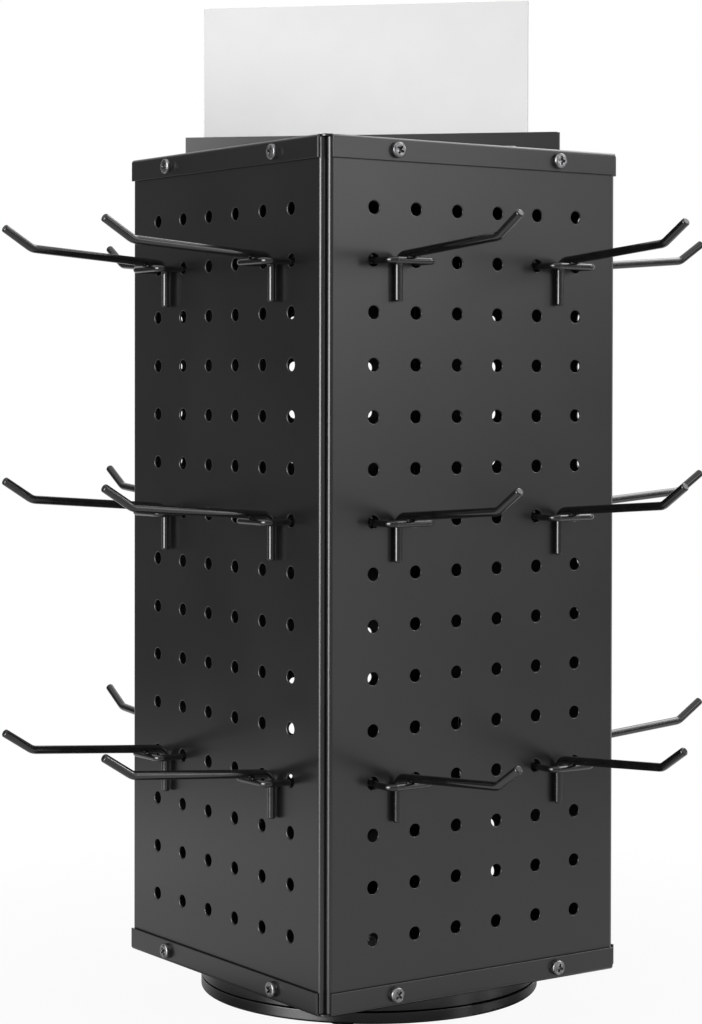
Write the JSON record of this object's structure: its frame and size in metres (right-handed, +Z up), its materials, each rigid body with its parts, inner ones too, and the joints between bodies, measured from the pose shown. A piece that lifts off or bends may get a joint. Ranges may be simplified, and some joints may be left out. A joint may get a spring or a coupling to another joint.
{
  "type": "rotating hook display stand",
  "caption": "Square counter-top display tower of black perforated sheet with lift-off wire hooks on all sides, a plain sign in a slot on top, and a round ball-bearing turntable below.",
  "frame": {"origin": "middle of the footprint at floor level, on the axis that the tower turns about", "axes": "+Z up; -Y out of the front face, the right one of the two in the picture; +X out of the right face, to the right when looking at the front face"},
  "size_m": [0.3816, 0.3816, 0.52],
  "materials": {
    "coated_sheet": "satin black powder coat",
    "coated_wire": "gloss black powder coat",
    "plastic_disc": "satin moulded",
    "rubber_feet": "matte",
    "bearing_steel": "ground",
    "screw_nickel": "dark nickel plate",
    "nylon": "natural, matte",
    "sign_plastic": "matte light grey"
  },
  "bodies": {
    "base": {"base_disc": "plastic_disc", "rubber_feet": "rubber_feet", "lower_race": "bearing_steel", "spindle_bolt": "bearing_steel", "spindle_washer": "bearing_steel", "spindle_lock_nut": "bearing_steel"},
    "ball_ring": {"ball_cage": "nylon", "bearing_balls": "bearing_steel"},
    "tower": {"upper_disc": "plastic_disc", "upper_race": "bearing_steel", "spindle_bush": "nylon", "disc_screws": "screw_nickel", "bottom_cap": "coated_sheet", "top_cap": "coated_sheet", "face_front": "coated_sheet", "face_right": "coated_sheet", "face_back": "coated_sheet", "face_left": "coated_sheet", "bottom_cap_screws": "screw_nickel", "bottom_cap_nuts": "screw_nickel", "top_cap_screws": "screw_nickel", "top_cap_nuts": "screw_nickel", "sign_angle_front": "coated_sheet", "sign_angle_back": "coated_sheet", "sign_angle_screws": "screw_nickel", "sign_angle_nuts": "screw_nickel"},
    "sign": {"sign_card": "sign_plastic"},
    "hook_front_top_left": {"hook_front_top_left": "coated_wire"},
    "hook_front_top_right": {"hook_front_top_right": "coated_wire"},
    "hook_front_middle_left": {"hook_front_middle_left": "coated_wire"},
    "hook_front_middle_right": {"hook_front_middle_right": "coated_wire"},
    "hook_front_bottom_left": {"hook_front_bottom_left": "coated_wire"},
    "hook_front_bottom_right": {"hook_front_bottom_right": "coated_wire"},
    "hook_right_top_left": {"hook_right_top_left": "coated_wire"},
    "hook_right_top_right": {"hook_right_top_right": "coated_wire"},
    "hook_right_middle_left": {"hook_right_middle_left": "coated_wire"},
    "hook_right_middle_right": {"hook_right_middle_right": "coated_wire"},
    "hook_right_bottom_left": {"hook_right_bottom_left": "coated_wire"},
    "hook_right_bottom_right": {"hook_right_bottom_right": "coated_wire"},
    "hook_back_top_left": {"hook_back_top_left": "coated_wire"},
    "hook_back_top_right": {"hook_back_top_right": "coated_wire"},
    "hook_back_middle_left": {"hook_back_middle_left": "coated_wire"},
    "hook_back_middle_right": {"hook_back_middle_right": "coated_wire"},
    "hook_back_bottom_left": {"hook_back_bottom_left": "coated_wire"},
    "hook_back_bottom_right": {"hook_back_bottom_right": "coated_wire"},
    "hook_left_top_left": {"hook_left_top_left": "coated_wire"},
    "hook_left_top_right": {"hook_left_top_right": "coated_wire"},
    "hook_left_middle_left": {"hook_left_middle_left": "coated_wire"},
    "hook_left_middle_right": {"hook_left_middle_right": "coated_wire"},
    "hook_left_bottom_left": {"hook_left_bottom_left": "coated_wire"},
    "hook_left_bottom_right": {"hook_left_bottom_right": "coated_wire"}
  },
  "joints": [
    {"name": "tower_spin", "type": "hinge", "parent": "base", "child": "tower", "pos_m": [0, 0, 0.0118], "axis": [0, 0, 1], "continuous": true},
    {"name": "ball_ring_roll", "type": "hinge", "parent": "base", "child": "ball_ring", "pos_m": [0, 0, 0.00845], "axis": [0, 0, 1], "continuous": true},
    {"name": "sign_lift", "type": "slide", "parent": "tower", "child": "sign", "axis": [0, 0, 1], "range_m": [0, 0.02]},
    {"name": "hook_tilt_front_top_left", "type": "hinge", "parent": "tower", "child": "hook_front_top_left", "pos_m": [-0.0508, -0.0921, 0.3794], "axis": [-1, 0, 0], "range_deg": [0, 35]},
    {"name": "hook_tilt_front_top_right", "type": "hinge", "parent": "tower", "child": "hook_front_top_right", "pos_m": [0.0508, -0.0921, 0.3794], "axis": [-1, 0, 0], "range_deg": [0, 35]},
    {"name": "hook_tilt_front_middle_left", "type": "hinge", "parent": "tower", "child": "hook_front_middle_left", "pos_m": [-0.0508, -0.0921, 0.2524], "axis": [-1, 0, 0], "range_deg": [0, 35]},
    {"name": "hook_tilt_front_middle_right", "type": "hinge", "parent": "tower", "child": "hook_front_middle_right", "pos_m": [0.0508, -0.0921, 0.2524], "axis": [-1, 0, 0], "range_deg": [0, 35]},
    {"name": "hook_tilt_front_bottom_left", "type": "hinge", "parent": "tower", "child": "hook_front_bottom_left", "pos_m": [-0.0508, -0.0921, 0.1254], "axis": [-1, 0, 0], "range_deg": [0, 35]},
    {"name": "hook_tilt_front_bottom_right", "type": "hinge", "parent": "tower", "child": "hook_front_bottom_right", "pos_m": [0.0508, -0.0921, 0.1254], "axis": [-1, 0, 0], "range_deg": [0, 35]},
    {"name": "hook_tilt_right_top_left", "type": "hinge", "parent": "tower", "child": "hook_right_top_left", "pos_m": [0.0921, -0.0508, 0.3794], "axis": [0, -1, 0], "range_deg": [0, 35]},
    {"name": "hook_tilt_right_top_right", "type": "hinge", "parent": "tower", "child": "hook_right_top_right", "pos_m": [0.0921, 0.0508, 0.3794], "axis": [0, -1, 0], "range_deg": [0, 35]},
    {"name": "hook_tilt_right_middle_left", "type": "hinge", "parent": "tower", "child": "hook_right_middle_left", "pos_m": [0.0921, -0.0508, 0.2524], "axis": [0, -1, 0], "range_deg": [0, 35]},
    {"name": "hook_tilt_right_middle_right", "type": "hinge", "parent": "tower", "child": "hook_right_middle_right", "pos_m": [0.0921, 0.0508, 0.2524], "axis": [0, -1, 0], "range_deg": [0, 35]},
    {"name": "hook_tilt_right_bottom_left", "type": "hinge", "parent": "tower", "child": "hook_right_bottom_left", "pos_m": [0.0921, -0.0508, 0.1254], "axis": [0, -1, 0], "range_deg": [0, 35]},
    {"name": "hook_tilt_right_bottom_right", "type": "hinge", "parent": "tower", "child": "hook_right_bottom_right", "pos_m": [0.0921, 0.0508, 0.1254], "axis": [0, -1, 0], "range_deg": [0, 35]},
    {"name": "hook_tilt_back_top_left", "type": "hinge", "parent": "tower", "child": "hook_back_top_left", "pos_m": [0.0508, 0.0921, 0.3794], "axis": [1, 0, 0], "range_deg": [0, 35]},
    {"name": "hook_tilt_back_top_right", "type": "hinge", "parent": "tower", "child": "hook_back_top_right", "pos_m": [-0.0508, 0.0921, 0.3794], "axis": [1, 0, 0], "range_deg": [0, 35]},
    {"name": "hook_tilt_back_middle_left", "type": "hinge", "parent": "tower", "child": "hook_back_middle_left", "pos_m": [0.0508, 0.0921, 0.2524], "axis": [1, 0, 0], "range_deg": [0, 35]},
    {"name": "hook_tilt_back_middle_right", "type": "hinge", "parent": "tower", "child": "hook_back_middle_right", "pos_m": [-0.0508, 0.0921, 0.2524], "axis": [1, 0, 0], "range_deg": [0, 35]},
    {"name": "hook_tilt_back_bottom_left", "type": "hinge", "parent": "tower", "child": "hook_back_bottom_left", "pos_m": [0.0508, 0.0921, 0.1254], "axis": [1, 0, 0], "range_deg": [0, 35]},
    {"name": "hook_tilt_back_bottom_right", "type": "hinge", "parent": "tower", "child": "hook_back_bottom_right", "pos_m": [-0.0508, 0.0921, 0.1254], "axis": [1, 0, 0], "range_deg": [0, 35]},
    {"name": "hook_tilt_left_top_left", "type": "hinge", "parent": "tower", "child": "hook_left_top_left", "pos_m": [-0.0921, 0.0508, 0.3794], "axis": [0, 1, 0], "range_deg": [0, 35]},
    {"name": "hook_tilt_left_top_right", "type": "hinge", "parent": "tower", "child": "hook_left_top_right", "pos_m": [-0.0921, -0.0508, 0.3794], "axis": [0, 1, 0], "range_deg": [0, 35]},
    {"name": "hook_tilt_left_middle_left", "type": "hinge", "parent": "tower", "child": "hook_left_middle_left", "pos_m": [-0.0921, 0.0508, 0.2524], "axis": [0, 1, 0], "range_deg": [0, 35]},
    {"name": "hook_tilt_left_middle_right", "type": "hinge", "parent": "tower", "child": "hook_left_middle_right", "pos_m": [-0.0921, -0.0508, 0.2524], "axis": [0, 1, 0], "range_deg": [0, 35]},
    {"name": "hook_tilt_left_bottom_left", "type": "hinge", "parent": "tower", "child": "hook_left_bottom_left", "pos_m": [-0.0921, 0.0508, 0.1254], "axis": [0, 1, 0], "range_deg": [0, 35]},
    {"name": "hook_tilt_left_bottom_right", "type": "hinge", "parent": "tower", "child": "hook_left_bottom_right", "pos_m": [-0.0921, -0.0508, 0.1254], "axis": [0, 1, 0], "range_deg": [0, 35]}
  ],
  "couplings": [
    {"joint": "ball_ring_roll", "follows": "tower_spin", "ratio": 0.5}
  ]
}
